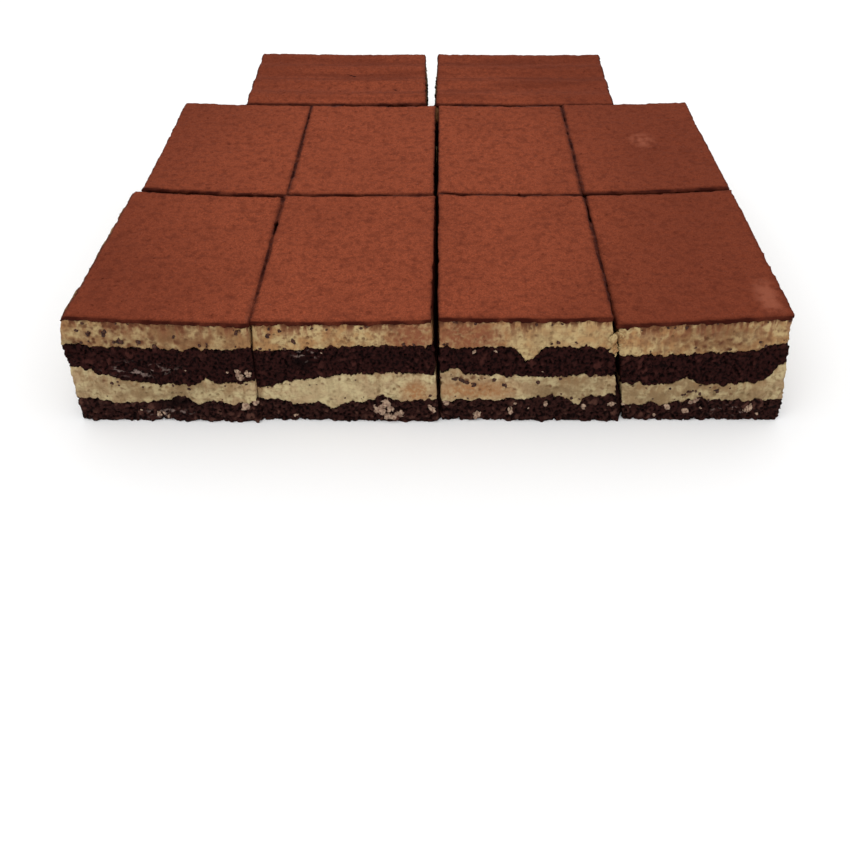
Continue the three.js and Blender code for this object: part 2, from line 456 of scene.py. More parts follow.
@dataclass(frozen=True)
class CocoaFinish:
    """Dusted cocoa: matte and grainy on top, dark and moist at its cut edge.

    Attributes:
        name: the material's name.
        powder: the plain powder.
        shade: the powder far from the middle: partly its own tone, partly painted shade where the light
            falls off.
        speck: the powder where moisture has come through, and painted shade between its grains, along its
            ripples and in its dimples.
        thin: the powder where it is thin.
        moist: the cut edge.
        middle: where the powder is palest; away from it, painted shade of the falling light darkens it.
        shaded_ripples: where painted shade runs across it in bands, for its ripples.
        smudges: where it is thin.
    """

    name: str = "dusted_cocoa"
    powder: Colour = tone(161, 80, 53, TOP_LIGHT)
    shade: Colour = tone(116, 54, 36, TOP_LIGHT)
    speck: Colour = tone(93, 40, 26, TOP_LIGHT)
    thin: Colour = tone(158, 90, 68, TOP_LIGHT)
    moist: Colour = tone(50, 13, 5)
    middle: Patch = Patch((-14, -26, 37), (140, 220, 400))
    shaded_ripples: Patch = Patch((0, 77, 37), (130, 45, 30))
    smudges: Patches = (
        Patch((79.4, 16, 37.5), (6.5, 8.5, 8)),
        Patch((99, -90, 38.5), (5, 15, 8)),
        Patch((-52.5, -94, 36.5), (0.8, 11, 8)),
    )

    def material(self) -> Material:
        """Returns the cocoa's material."""
        graph = Graph(self.name, self.powder)
        fine = graph.noise(0.4 * MM, 3)
        lumps = graph.noise(1.4 * MM, 2)
        mottle = graph.noise(2.5 * MM, 2, (1.2, 1.3, 1))
        drift = graph.noise(24 * MM, 2)
        bands = graph.noise(5 * MM, 2, (9, 1, 1))
        # painted shade, together with the powder's own tone: darker away from the middle, where the light
        # falls off
        graph.coat(graph.span(graph.nearness(self.middle), 1, 0.3, 0, 0.68), self.shade)
        # painted shade, laid with the speck colour: between the fine grains, in bands along the ripple lines
        # and in dots for shallow dimples; the lumps, mottle and drift are the powder's own tone
        dots = graph.dots(4.6 * MM, 1.5 * MM, 0.6, 1.2 * MM, 0)
        for share in (
            graph.span(fine, 0.7, 0.3, 0, 0.6),
            graph.span(lumps, 0.48, 0.7, 0, 0.4),
            graph.span(mottle, 0.48, 0.68, 0, 0.35),
            graph.span(drift, 0.4, 0.7, 0, 0.15),
            graph.times(graph.nearness(self.shaded_ripples), graph.span(bands, 0.45, 0.62, 0, 0.5)),
            graph.times(dots, 0.5),
        ):
            graph.coat(share, self.speck)
        patchy = graph.span(mottle, 0.35, 0.65, 0.7, 0.1)
        graph.coat(graph.times(graph.anywhere_near(self.smudges), patchy), self.thin)
        flank = graph.kept("flank")
        edge = graph.span(graph.noise(6 * MM, 2), 0.38, 0.58, 0.75, 1.0)
        graph.coat(graph.times(flank, edge), self.moist)
        matte = graph.span(flank, 0, 1, 0.95, 0.7)
        return graph.finish(matte, 0.05, (fine, 0.15 * MM), (lumps, 0.35 * MM))


@dataclass(frozen=True)
class CreamFinish:
    """Cut cream, stained by cocoa from above and by the sponge beside it.

    Attributes:
        name: the material's name.
        pale: the clean cream.
        warm: the cream where it has drawn in some colour.
        shade: the cream's darker tone, and painted shade in its hollows, in its creases and along its ribs.
        stain: the cocoa that the knife drew down over it.
        drag: how strong that stain is at the top of the layer.
        teeth: how strongly cocoa covers the top edge.
        specks: the share of the cream's cells that hold a dark speck.
        stained: where the cocoa covers the whole height.
        speckled: where there are many more dark specks.
        dusky: where the cream is darker than elsewhere.
        clean: where the knife drew no cocoa down.
        soil: the dark specks.
        seam: painted shade on the cream between two portions, growing behind the cut faces.
    """

    name: str
    pale: Colour
    warm: Colour
    shade: Colour
    stain: Colour
    drag: float
    teeth: float
    specks: float
    stained: Patches
    speckled: Patches
    dusky: Patches
    clean: Patches
    soil: Colour = tone(86, 44, 18)
    seam: Colour = tone(96, 38, 22)

    def material(self) -> Material:
        """Returns the cream's material."""
        graph = Graph(self.name, self.pale)
        soft = graph.noise(4 * MM, 3)
        grain = graph.noise(1.1 * MM, 3)
        streak = graph.noise(1.8 * MM, 3, (1, 1, 5))
        crease = graph.noise(0.8 * MM, 2, (8, 8, 1))
        rise = graph.kept("rise")
        graph.coat(graph.span(soft, 0.38, 0.62), self.warm)
        # painted shade: the grain is the cream's own tone; the hollows of the relief, the creases and the
        # ribs are darkened as painted shade
        for share in (
            graph.span(grain, 0.48, 0.7, 0, 0.6),
            graph.span(graph.kept("depth"), 0, -0.4, 0, 0.6),
            graph.span(crease, 0.55, 0.7, 0, 0.35),
            graph.span(streak, 0.5, 0.7, 0, 0.5),
        ):
            graph.coat(share, self.shade)
        clean = graph.anywhere_near(self.clean)
        graph.coat(graph.times(clean, 0.35), self.pale)
        dusk = graph.span(soft, 0.3, 0.65, 0.3, 0.8)
        graph.coat(graph.times(graph.anywhere_near(self.dusky), dusk), self.shade)
        drawn = graph.times(graph.span(rise, 0.2, 1.0, 0.0, self.drag), graph.span(streak, 0.42, 0.62))
        drawn = graph.times(drawn, graph.span(clean, 0, 1, 1, 0.2))
        blotch = graph.span(grain, 0.3, 0.6, 0.5, 0.95)
        covered = graph.times(graph.anywhere_near(self.stained), blotch)
        graph.coat(graph.math("MAXIMUM", drawn, covered), self.stain)
        few = graph.times(graph.dots(2.6 * MM, 0.9 * MM, self.specks, 1.2 * MM, 0), 0.8)
        many = graph.dots(2.3 * MM, 1.4 * MM, 0.75, 1.8 * MM, 0.1)
        soiled = graph.times(many, graph.anywhere_near(self.speckled))
        graph.coat(graph.math("MAXIMUM", few, soiled), self.soil)
        uneven = graph.math("ADD", rise, graph.span(streak, 0.35, 0.65, -0.14, 0.1))
        graph.coat(graph.span(uneven, 0.74, 0.98, 0, self.teeth), self.soil)
        # painted shade in the seams between portions, darker the further it lies behind the cut face
        graph.coat(graph.kept("inner"), self.seam)
        return graph.finish(0.65, 0.2, (grain, 0.2 * MM), (streak, 0.3 * MM))


@dataclass(frozen=True)
class SpongeFinish:
    """Soaked cocoa sponge: very dark, moist and full of small holes.

    Attributes:
        name: the material's name.
        crumb: the sponge's crumb.
        lit: painted light on the crumbs that stand out, in patches.
        glint_spots: where painted glints lie on it.
        shaded_holes: where painted shade darkens torn-out holes.
        hollow_shade: the dark of its holes: painted shade in its pores and between its crumbs.
        glint: the painted highlight on its moist spots.
    """

    name: str
    crumb: Colour
    lit: Colour
    glint_spots: Patches
    shaded_holes: Patches
    hollow_shade: Colour = tone(14, 6, 6)
    glint: Colour = tone(140, 120, 112)

    def material(self) -> Material:
        """Returns the sponge's material."""
        graph = Graph(self.name, self.hollow_shade)
        crumb = graph.noise(1.0 * MM, 3)
        depth = graph.kept("depth")
        # painted shade: the colour of the holes shows between the crumbs and where the relief is pressed in
        graph.coat(graph.span(crumb, 0.35, 0.6), self.crumb)
        graph.coat(graph.span(depth, -0.1, -0.6), self.hollow_shade)
        # painted light on the raised crumbs, in patches
        lit_patches = graph.span(graph.noise(5 * MM, 2), 0.4, 0.65)
        graph.coat(graph.times(graph.span(depth, 0.1, 0.5), lit_patches), self.lit)
        # painted shade over the torn-out holes
        graph.coat(graph.times(graph.anywhere_near(self.shaded_holes), 0.8), self.hollow_shade)
        # painted glints: light on moist spots, laid into the colour
        shine = graph.span(graph.noise(1.3 * MM, 2, (1.7, 1.7, 1)), 0.56, 0.68)
        glint_spots = graph.times(graph.anywhere_near(self.glint_spots), shine)
        graph.coat(graph.times(glint_spots, 0.75), self.glint)
        return graph.finish(0.75, 0.02, (crumb, 0.5 * MM))


@dataclass(frozen=True)
class BitFinish:
    """Loose bits of one kind, with a paler and a darker tone."""

    name: str
    pale: Colour
    shade: Colour

    def material(self) -> Material:
        """Returns the bits' material."""
        graph = Graph(self.name, self.pale)
        grain = graph.noise(0.8 * MM, 2)
        graph.coat(graph.span(grain, 0.4, 0.65), self.shade)
        return graph.finish(0.6, 0.2, (grain, 0.2 * MM))


FINISHES = (
    CocoaFinish(),
    SpongeFinish(
        name="sponge_upper",
        crumb=tone(42, 19, 17),
        lit=tone(60, 31, 27),
        glint_spots=(Patch((-85, -102, 20), (14, 9, 4)), Patch((-36, -102, 25), (5, 9, 3))),
        shaded_holes=(Patch((-37.5, -102, 22.5), (5, 9, 4)),),
    ),
    SpongeFinish(
        name="sponge_lower",
        crumb=tone(47, 25, 22),
        lit=tone(78, 50, 42),
        glint_spots=(Patch((-79, -102, 3), (11, 9, 3)), Patch((92, -100, 4), (9, 9, 3))),
        shaded_holes=(Patch((-76, -102, 8), (9, 9, 4)),),
    ),
    CreamFinish(
        name="cream_upper",
        pale=tone(178, 154, 109),
        warm=tone(157, 117, 74),
        shade=tone(108, 74, 45),
        stain=tone(124, 70, 43),
        drag=0.8,
        teeth=0.9,
        specks=0.3,
        stained=(
            Patch((-5, -102, 32), (12, 9, 11)),
            Patch((11, -101, 32), (18, 9, 10)),
            Patch((2, 49, 30), (8, 4, 16)),
        ),
        speckled=(Patch((-88, -102, 32), (40, 16, 14)), Patch((86, -100, 29), (24, 9, 7))),
        dusky=(Patch((-78, -102, 32), (42, 14, 14)), Patch((84, -100, 31), (20, 12, 9))),
        clean=(Patch((39, -101, 33), (20, 14, 14)),),
    ),
    CreamFinish(
        name="cream_lower",
        pale=tone(185, 168, 127),
        warm=tone(162, 136, 101),
        shade=tone(116, 92, 60),
        stain=tone(148, 102, 62),
        drag=0.2,
        teeth=0.0,
        specks=0.2,
        stained=(Patch((-4, -102, 12), (7, 9, 6)), Patch((14, -101, 12), (18, 9, 5))),
        speckled=(Patch((10, -101, 16), (12, 9, 4)),),
        dusky=(
            Patch((-80, -102, 13), (30, 12, 12)),
            Patch((42, -101, 13), (20, 14, 10)),
            Patch((78, -100, 11), (42, 14, 14)),
        ),
        clean=(Patch((-30, -102, 13), (20, 14, 10)),),
    ),
    BitFinish("cream_fleck", tone(168, 142, 120), tone(122, 94, 78)),
    BitFinish("sponge_crumb", tone(72, 40, 27), tone(42, 20, 15)),
)


# Layers

# The most that an upright face looks up, and the most that the rise differs along a level edge
UPRIGHT = 0.7
SAME_RISE = 0.01


@dataclass
class Layer:
    """A layer of one portion, shown by a piece that is made from its solid.

    Attributes:
        node: the layer's solid.
        slot: its material slot; not used.
        finish: its material.
        reliefs: its relief.
    """

    node: str
    slot: Slot
    finish: Material
    reliefs: tuple[Relief, ...]
    piece: Piece = field(init=False)

    @property
    def mesh(self) -> Mesh:
        """The piece's mesh."""
        return self.piece.data

    def box(self) -> tuple[Array, Array]:
        """Returns the middle and the size of the solid's box."""
        low, high = (np.array(list(corner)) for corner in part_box(self.node))
        return (low + high) / 2, high - low

    def normals(self) -> Array:
        """Returns the way the surface faces at each vertex."""
        return read(self.mesh.vertices, "normal", 3)

    def looks_up(self) -> Array:
        """Returns how far up each face looks, from -1 to 1."""
        return read(self.mesh.polygons, "normal", 3)[:, 2]

    def move(self, spots: Array) -> None:
        """Puts the vertices at other places."""
        self.mesh.vertices.foreach_set("co", spots.ravel())

    def soften(self) -> bpy.types.SmoothModifier:
        """Adds a modifier that rounds the piece, and returns it."""
        modifier = self.piece.modifiers.new("soften", "SMOOTH")
        modifier.factor = 0.5
        modifier.iterations = 4
        return modifier

    def press_relief(self) -> None:
        """Presses the relief into the surface."""
        for relief in self.reliefs:
            relief.press(self.piece)
        apply_modifiers(self.piece)

    def dress(self) -> None:
        """Gives the piece its finish and lets it stand for the solid."""
        hand_over(self.piece, self.finish, self.node)


@dataclass
class CutLayer(Layer):
    """A layer of sponge or cream, as its cut faces show it.

    Attributes:
        open_sides: the sides that can be seen.
        wide_seams: the sides along a seam that stands open.
        rests: whether it lies on the floor.
        dusted: whether the cocoa lies on it.
        rows: rows of quads that its height is first parted into.
        cuts: cuts across each quad of an open side.
        overlap: how far it reaches into the layers next to it.
        dust_reach: how far it reaches up into the cocoa.
        dust_tuck: the share of its upper outline that it keeps under the cocoa.
        longest: the longest step along a side before those cuts.
        lip: the share of the outline that its hidden faces keep.
        outline: how far out a wall lies, as a share of the solid's box.
        sink: how far its hidden top lies below its upper outline.
        fade: how far behind a cut face a seam is wholly dark with painted shade.
        narrowing: how many times sooner it is narrow.
        footing: how many times sooner the base reaches out to its neighbour.
        wide_share: the share of the seam relief that a wide seam gets.
    """

    open_sides: tuple[Side, ...]
    wide_seams: tuple[Side, ...]
    rests: bool = False
    dusted: bool = False
    rows: int = 3
    cuts: int = 7
    overlap: float = 0.25 * MM
    dust_reach: float = 0.7 * MM
    dust_tuck: float = 0.985
    longest: float = 5 * MM
    lip: float = 0.95
    outline: float = 0.4
    sink: float = 1.2 * MM
    fade: float = 9 * MM
    narrowing: float = 2
    footing: float = 5
    wide_share: float = 0.4
    shown: Array = field(init=False)

    def build(self) -> None:
        """Makes the layer's piece from its solid."""
        self.piece = copy_of_node(self.node, f"{self.node}_cut")
        self.open_walls()
        self.mark_rise()
        self.part_walls()
        self.close_ends()
        self.hold_groups()
        self.roughen()

    def offsets(self) -> Array:
        """Returns how far each face lies from the layer's middle, as shares of the solid's box."""
        middle, size = self.box()
        return ((read(self.mesh.polygons, "center", 3) - middle) / size)[:, :2]

    def faces_on(self, sides: tuple[Side, ...]) -> Array:
        """Marks the walls that lie on some of the sides."""
        nearest = np.argmax(self.offsets() @ np.array([side.value for side in Side]).T, axis=1)
        return self.walls() & np.isin(nearest, [list(Side).index(side) for side in sides])

    def walls(self) -> Array:
        """Marks the faces that stand upright along the outline."""
        upright = np.abs(self.looks_up()) < UPRIGHT
        return upright & (np.abs(self.offsets()).max(axis=1) > self.outline)

    def open_walls(self) -> None:
        """Takes the top and the bottom off, and makes quads of the walls."""
        with chosen(self.piece, Elements.FACES, ~self.walls()):
            bpy.ops.mesh.delete(type="FACE")
        with chosen(self.piece, Elements.EDGES, self.diagonals()):
            bpy.ops.mesh.dissolve_edges(use_verts=False)

    def diagonals(self) -> Array:
        """Marks the edges that halve the quads of the walls: in each triangle, the one before the rim."""
        triangles = read(self.mesh.loops, "edge_index").reshape(-1, 3)
        rim = np.argmax(faces_per_edge(self.mesh)[triangles] == 1, axis=1)
        marked = np.zeros(len(self.mesh.edges), bool)
        marked[triangles[np.arange(len(triangles)), rim - 1]] = True
        return marked

    def mark_rise(self) -> None:
        """Notes 0 at the lower outline and 1 at the upper one, and lets both meet their neighbours."""
        ends = read(self.mesh.edges, "vertices", 2)
        spots = places(self.piece)
        height = spots[:, 2]
        upright = faces_per_edge(self.mesh) == 2
        higher = np.where(height[ends[:, 0]] > height[ends[:, 1]], ends[:, 0], ends[:, 1])
        upper = np.zeros(len(spots), bool)
        upper[higher[upright]] = True
        note(self.mesh, "rise", upper)
        raised = self.dust_reach if self.dusted else self.overlap
        lowered = 0 if self.rests else self.overlap
        spots[:, 2] += np.where(upper, raised, -lowered)
        if self.dusted:
            middle = self.box()[0][:2]
            spots[upper, :2] = middle + (spots[upper, :2] - middle) * self.dust_tuck
        self.move(spots)

    def rise(self) -> Array:
        """Returns how high each vertex lies in the layer, from 0 to 1."""
        return read(self.mesh.attributes["rise"].data, "value")

    def part_walls(self) -> None:
        """Parts the walls into rows and short steps, and the open ones into a fine grid."""
        with chosen(self.piece, Elements.EDGES, faces_per_edge(self.mesh) == 2):
            bpy.ops.mesh.subdivide(number_cuts=self.rows - 1)
        while self.long_steps().any():
            with chosen(self.piece, Elements.EDGES, self.long_steps()):
                bpy.ops.mesh.subdivide(number_cuts=1)
        with chosen(self.piece, Elements.FACES, self.faces_on(self.open_sides)):
            bpy.ops.mesh.subdivide(number_cuts=self.cuts)

    def long_steps(self) -> Array:
        """Marks the level edges of the walls that are still too long."""
        ends = read(self.mesh.edges, "vertices", 2)
        spots = places(self.piece)
        rise = self.rise()
        level = np.abs(rise[ends[:, 0]] - rise[ends[:, 1]]) < SAME_RISE
        length = np.linalg.norm(spots[ends[:, 0]] - spots[ends[:, 1]], axis=1)
        return level & (length > self.longest)

    def close_ends(self) -> None:
        """Closes the bottom and the top, each with a lip and one face inside it."""
        for end, drop in ((0, 0), (1, self.sink)):
            ends = read(self.mesh.edges, "vertices", 2)
            on_end = np.abs(self.rise()[ends] - end).max(axis=1) < SAME_RISE
            with chosen(self.piece, Elements.EDGES, on_end & (faces_per_edge(self.mesh) == 1)):
                bpy.ops.mesh.extrude_edges_move()
                bpy.ops.transform.resize(value=(self.lip, self.lip, 1), center_override=self.box()[0])
                bpy.ops.transform.translate(value=(0, 0, -drop))
                bpy.ops.mesh.edge_face_add()

    def hold_groups(self) -> None:
        """Makes the vertex groups that hold relief to the cut faces, their edges and the seams, and notes
        the painted shade of the seams.
        """
        self.shown = vertices_of_faces(self.mesh, self.faces_on(self.open_sides))
        inner = vertices_of_faces(self.mesh, self.walls()) & ~self.shown
        wide = vertices_of_faces(self.mesh, self.faces_on(self.wide_seams))
        rise = self.rise()
        edge = self.shown * np.abs(2 * rise - 1) ** 2
        if self.rests:
            edge[rise < 0.5] = 0
        if self.dusted:
            edge[rise > 0.5] = 0
        hold(self.piece, "cut", self.shown)
        hold(self.piece, "edge", edge)
        behind = inner * self.distance_in()
        hold(self.piece, "foot", np.minimum(self.footing * behind, 1))
        narrow = np.minimum(self.narrowing * behind, 1)
        if self.dusted:
            narrow = narrow * (1 - rise)
        hold(self.piece, "seam", narrow * np.where(wide, self.wide_share, 1))
        # how far behind the cut faces each vertex lies, kept for the painted shade of the seams
        note(self.mesh, "inner", behind)

    def distance_in(self) -> Array:
        """Returns how far behind the cut faces each vertex lies, as a share of the fade."""
        if not self.shown.any():
            return np.ones(len(self.shown))
        return np.clip(gaps_to(places(self.piece), self.shown) / self.fade, 0, 1)

    def roughen(self) -> None:
        """Softens the corners, presses the relief in and notes how far it moved each cut face in or out,
        which the materials use for painted shade in hollows and painted light on raised crumbs.
        """
        softened = self.soften()
        softened.use_z = False
        softened.vertex_group = "cut"
        apply_modifiers(self.piece)
        before = places(self.piece)
        outward = self.normals()
        self.press_relief()
        spots = places(self.piece)
        note(self.mesh, "depth", np.sum((spots - before) * outward, axis=1) / MM * self.shown)
        spots[:, 2] = np.maximum(spots[:, 2], 0)
        self.move(spots)
        self.mesh.update()

    def cut_spots(self, lowest: float, highest: float) -> tuple[Array, Array]:
        """Returns the places on the cut between two shares of its height, and the way it faces there."""
        fitting = self.shown & (self.rise() >= lowest) & (self.rise() <= highest)
        return places(self.piece)[fitting], self.normals()[fitting]


@dataclass
class CocoaSkin(Layer):
    """The dusted cocoa on one portion.

    Attributes:
        bridged: the sides where it reaches across a narrow seam.
        voxel: the size of its mesh's faces.
        overlap: how far it reaches down into the cream.
        margin: the width of its underside that is kept.
        rim: how far in from its edge the top is moist.
        rim_shade: how moist it is there.
        level: how far up the top looks, at least, where grains lie on it.
        steep: how far up the flanks look, at most.
        down: how far up the underside looks, at most.
    """

    bridged: tuple[Side, ...]
    voxel: float = 0.48 * MM
    overlap: float = 0.4 * MM
    margin: float = 2.5 * MM
    rim: float = 1.4 * MM
    rim_shade: float = 0.55
    level: float = 0.9
    steep: float = 0.5
    down: float = -0.5

    def build(self) -> None:
        """Makes the skin's piece from its solid."""
        self.piece = copy_of_node(self.node, f"{self.node}_dust")
        self.reach_down()
        remesh = self.piece.modifiers.new("grid", "REMESH")
        remesh.mode = "VOXEL"
        remesh.voxel_size = self.voxel
        self.soften()
        apply_modifiers(self.piece)
        self.thin_underside()
        self.hold_groups()
        self.press_relief()

    def reach_down(self) -> None:
        """Lowers the underside into the cream."""
        spots = places(self.piece)
        spots[vertices_of_faces(self.mesh, self.looks_up() < -UPRIGHT), 2] -= self.overlap
        self.move(spots)

    def thin_underside(self) -> None:
        """Swaps the fine underside that can't be seen for one face."""
        middle, size = self.box()
        away = np.abs(read(self.mesh.polygons, "center", 3) - middle)
        inside = (away < size / 2 - self.margin)[:, :2].all(axis=1)
        with chosen(self.piece, Elements.FACES, inside & (self.looks_up() < self.down)):
            bpy.ops.mesh.delete(type="FACE")
        with chosen(self.piece, Elements.EDGES, faces_per_edge(self.mesh) == 1):
            bpy.ops.mesh.edge_face_add()

    def hold_groups(self) -> None:
        """Notes the flanks, and makes the vertex groups of the lower rim and of the narrow seams."""
        normals = self.normals()
        up = normals[:, 2]
        near_edge = np.clip(1 - gaps_to(places(self.piece), up < self.steep) / self.rim, 0, 1)
        flank = np.maximum(below(up, level=0.97, depth=0.4), self.rim_shade * near_edge)
        note(self.mesh, "flank", flank)
        hold(self.piece, "rim", below(up, level=0.2, depth=0.4))
        seam = np.zeros(len(normals))
        for side in self.bridged:
            seam = np.maximum(seam, np.clip(normals[:, :2] @ np.array(side.value), 0, 1))
        hold(self.piece, "seam", seam * below(up, level=0.6, depth=0.5))

    def top_spots(self) -> tuple[Array, Array]:
        """Returns the places on the top and the directions that it faces there."""
        normals = self.normals()
        fitting = normals[:, 2] > self.level
        return places(self.piece)[fitting], normals[fitting]


# Portions

BOUNDARY = (
    Relief("boundary", 1.7, 2.2, Push.UP, "edge"),
    Relief("boundary_crumbs", 0.6, 0.8, Push.UP, "edge"),
    Relief("seam_bulge", 8, 1.3, group="seam", middle=0.05),
)
SEAM_FOOT = Relief("seam_foot", 6, 3.4, group="foot", middle=0.1)
SPONGE_RELIEF = (
    *BOUNDARY,
    Relief("sponge_lumps", 2.4, 1.4, group="cut", hard=True, middle=0.35),
    Relief("sponge_pores", 1.5, 0.9, group="cut", middle=0.8, pits=(0.1, 0.4)),
)
CREAM_RELIEF = (
    *BOUNDARY,
    Relief("cream_lumps", 3, 0.9, group="cut"),
    Relief("cream_grain", 0.9, 0.5, group="cut"),
    Relief("cream_pores", 2.2, 0.5, group="cut", middle=1.0, pits=(0.1, 0.3)),
)
COCOA_RELIEF = (
    Relief("cocoa_drift", 9, 0.5, Push.UP),
    Relief("cocoa_lumps", 1.5, 0.25),
    Relief("cocoa_grain", 0.6, 0.16),
    Relief("cocoa_pits", 4, 0.4, middle=1.0, pits=(0.0, 0.4)),
    Relief("cocoa_teeth", 1.5, 1.8, Push.UP, "rim"),
    Relief("cocoa_bridge", 8, 1.8, group="seam", middle=0.1),
)


@dataclass
class Portion:
    """One portion of the cake, with its five layers.

    Attributes:
        name: the portion's name in the solids.
        open_sides: the sides that can be seen.
        wide_seams: the sides along a seam that stands open.
        made: the materials by name.
    """

    name: str
    open_sides: tuple[Side, ...]
    wide_seams: tuple[Side, ...]
    made: dict[str, Material]
    layers: dict[str, CutLayer] = field(init=False)
    cocoa: CocoaSkin = field(init=False)

    def build(self) -> None:
        """Builds and dresses the layers from the base up."""
        base_relief = (*SPONGE_RELIEF, SEAM_FOOT)
        self.layers = {
            "sponge_lower": self.cut_layer("sponge_lower", Slot.SPONGE, base_relief, rests=True),
            "cream_lower": self.cut_layer("cream_lower", Slot.CREAM, CREAM_RELIEF),
            "sponge_upper": self.cut_layer("sponge_upper", Slot.SPONGE, SPONGE_RELIEF),
            "cream_upper": self.cut_layer("cream_upper", Slot.CREAM, CREAM_RELIEF, dusted=True),
        }
        bridged = tuple(side for side in Side if side not in (*self.open_sides, *self.wide_seams))
        finish = self.made["dusted_cocoa"]
        self.cocoa = CocoaSkin(f"{self.name}_cocoa", Slot.COCOA, finish, COCOA_RELIEF, bridged)
        for layer in (*self.layers.values(), self.cocoa):
            layer.build()
            layer.dress()

    def cut_layer(self, layer: str, slot: Slot, reliefs: tuple[Relief, ...], **options: bool) -> CutLayer:
        """Returns one of the portion's layers, not yet built."""
        sides = (self.open_sides, self.wide_seams)
        return CutLayer(f"{self.name}_{layer}", slot, self.made[layer], reliefs, *sides, **options)


OPEN_SIDES = {
    "front_1": (Side.FRONT, Side.LEFT, Side.BACK),
    "front_2": (Side.FRONT,),
    "front_3": (Side.FRONT,),
    "front_4": (Side.FRONT, Side.RIGHT, Side.BACK),
    "middle_1": (Side.LEFT, Side.BACK),
    "middle_2": (),
    "middle_3": (),
    "middle_4": (Side.RIGHT, Side.BACK),
    "rear_1": (Side.LEFT, Side.BACK, Side.RIGHT),
    "rear_2": (Side.LEFT, Side.BACK, Side.RIGHT),
}
WIDE_SEAMS = {
    "front_2": (Side.RIGHT,),
    "front_3": (Side.LEFT,),
    "middle_2": (Side.RIGHT,),
    "middle_3": (Side.LEFT,),
}


# Loose bits


@dataclass
class LooseBits:
    """Many small bits of one kind, joined into one piece.

    Attributes:
        name: the piece's name.
        slot: its material slot; not used.
        finish: its material.
        random: the source of chance.
        detail: how finely each bit is divided.
        uneven: how far each of three waves shifts a bit's surface.
        ripple: how short those waves are.
    """

    name: str
    slot: Slot
    finish: Material
    random: np.random.Generator
    detail: int = 1
    uneven: float = 0.15
    ripple: float = 2.5
    batches: list[Array] = field(default_factory=list)
    faces: Array = field(init=False)
    template: Array = field(init=False)

    def __post_init__(self) -> None:
        """Reads the shape of a smooth bit from a ball."""
        bpy.ops.mesh.primitive_ico_sphere_add(subdivisions=self.detail, radius=1)
        ball = bpy.context.object
        self.template = places(ball)
        self.faces = read(ball.data.loops, "vertex_index").reshape(-1, 3)
        bpy.data.objects.remove(ball)

    def strew(self, spots: Array, normals: Array, sizes: Array, sunk: float, guides: Array) -> None:
        """Lays bits on a surface.

        Args:
            spots: where each lies.
            normals: the way the surface faces there.
            sizes: half of each bit's length, width and height.
            sunk: the share of its height that it is sunk in.
            guides: directions that each bit's length lies across.
        """
        along = np.cross(normals, guides)
        along /= np.linalg.norm(along, axis=1, keepdims=True)
        axes = np.stack([along, np.cross(normals, along), normals], axis=1)
        waves = self.random.normal(0, self.ripple, (len(spots), 3, 3))
        phases = self.random.uniform(0, 2 * math.pi, (len(spots), 1, 3))
        stray = 1 + self.uneven * np.sin(self.template @ waves + phases).sum(axis=2, keepdims=True)
        shapes = self.template[None] * stray * sizes[:, None, :]
        centres = spots + normals * (sizes[:, 2:] * (1 - sunk))
        self.batches.append(centres[:, None, :] + shapes @ axes)

    def build(self) -> None:
        """Joins the bits into one mesh and hands it over."""
        bits = np.concatenate(self.batches)
        count, corners = bits.shape[:2]
        faces = (self.faces[None] + corners * np.arange(count)[:, None, None]).reshape(-1, 3)
        mesh = bpy.data.meshes.new(self.name)
        mesh.from_pydata(bits.reshape(-1, 3), [], faces.tolist())
        piece = bpy.data.objects.new(self.name, mesh)
        bpy.context.scene.collection.objects.link(piece)
        hand_over(piece, self.finish)


@dataclass(frozen=True)
class Fleck:
    """A fleck on the front, with half of its length and width, in millimetres."""

    across: float
    height: float
    length: float
    width: float


def flecks_of(*rows: tuple[float, float, float, float]) -> tuple[Fleck, ...]:
    """Makes flecks from rows of their fields."""
    return tuple(Fleck(*row) for row in rows)


FLECKS = flecks_of(
    (-81.3, 3.1, 1.6, 0.8), (-78.9, 1.4, 0.7, 0.6), (-55.0, 6.3, 1.0, 1.3),
    (-51.8, 8.6, 0.8, 0.9), (-56.3, 19.3, 0.9, 1.2), (-53.6, 18.7, 1.0, 1.0),
    (-55.1, 17.6, 1.4, 0.9),
    (-14.9, 5.4, 1.8, 1.6), (-13.0, 8.2, 1.4, 1.4), (-11.4, 6.0, 0.9, 1.7),
    (-12.5, 2.6, 1.3, 1.0), (-10.6, 2.4, 1.2, 0.8), (-8.9, 3.3, 0.9, 1.6),
    (0.8, 5.9, 1.1, 1.1), (5.4, 7.3, 0.8, 0.8), (14.6, 2.6, 1.1, 1.4),
    (24.5, 4.4, 0.9, 1.4), (35.3, 7.1, 0.6, 0.9), (46.7, 5.8, 0.6, 0.8),
    (55.0, 7.1, 0.9, 1.5), (58.0, 6.6, 1.0, 0.8),
    (72.3, 5.5, 0.8, 0.8), (79.2, 7.5, 1.2, 0.7), (80.5, 8.3, 1.2, 0.7),
    (77.0, 4.4, 1.8, 1.0), (69.1, 2.0, 0.8, 0.5), (96.4, 5.5, 1.3, 1.4),
    (13.0, 26.3, 0.6, 0.5), (19.4, 26.3, 0.5, 0.4),
)
SMEARS = flecks_of(
    (53.5, 32.4, 1.5, 1.6), (53.8, 30.2, 1.5, 1.8), (54.1, 28.2, 1.4, 1.8),
    (54.5, 26.0, 0.8, 1.5),
)
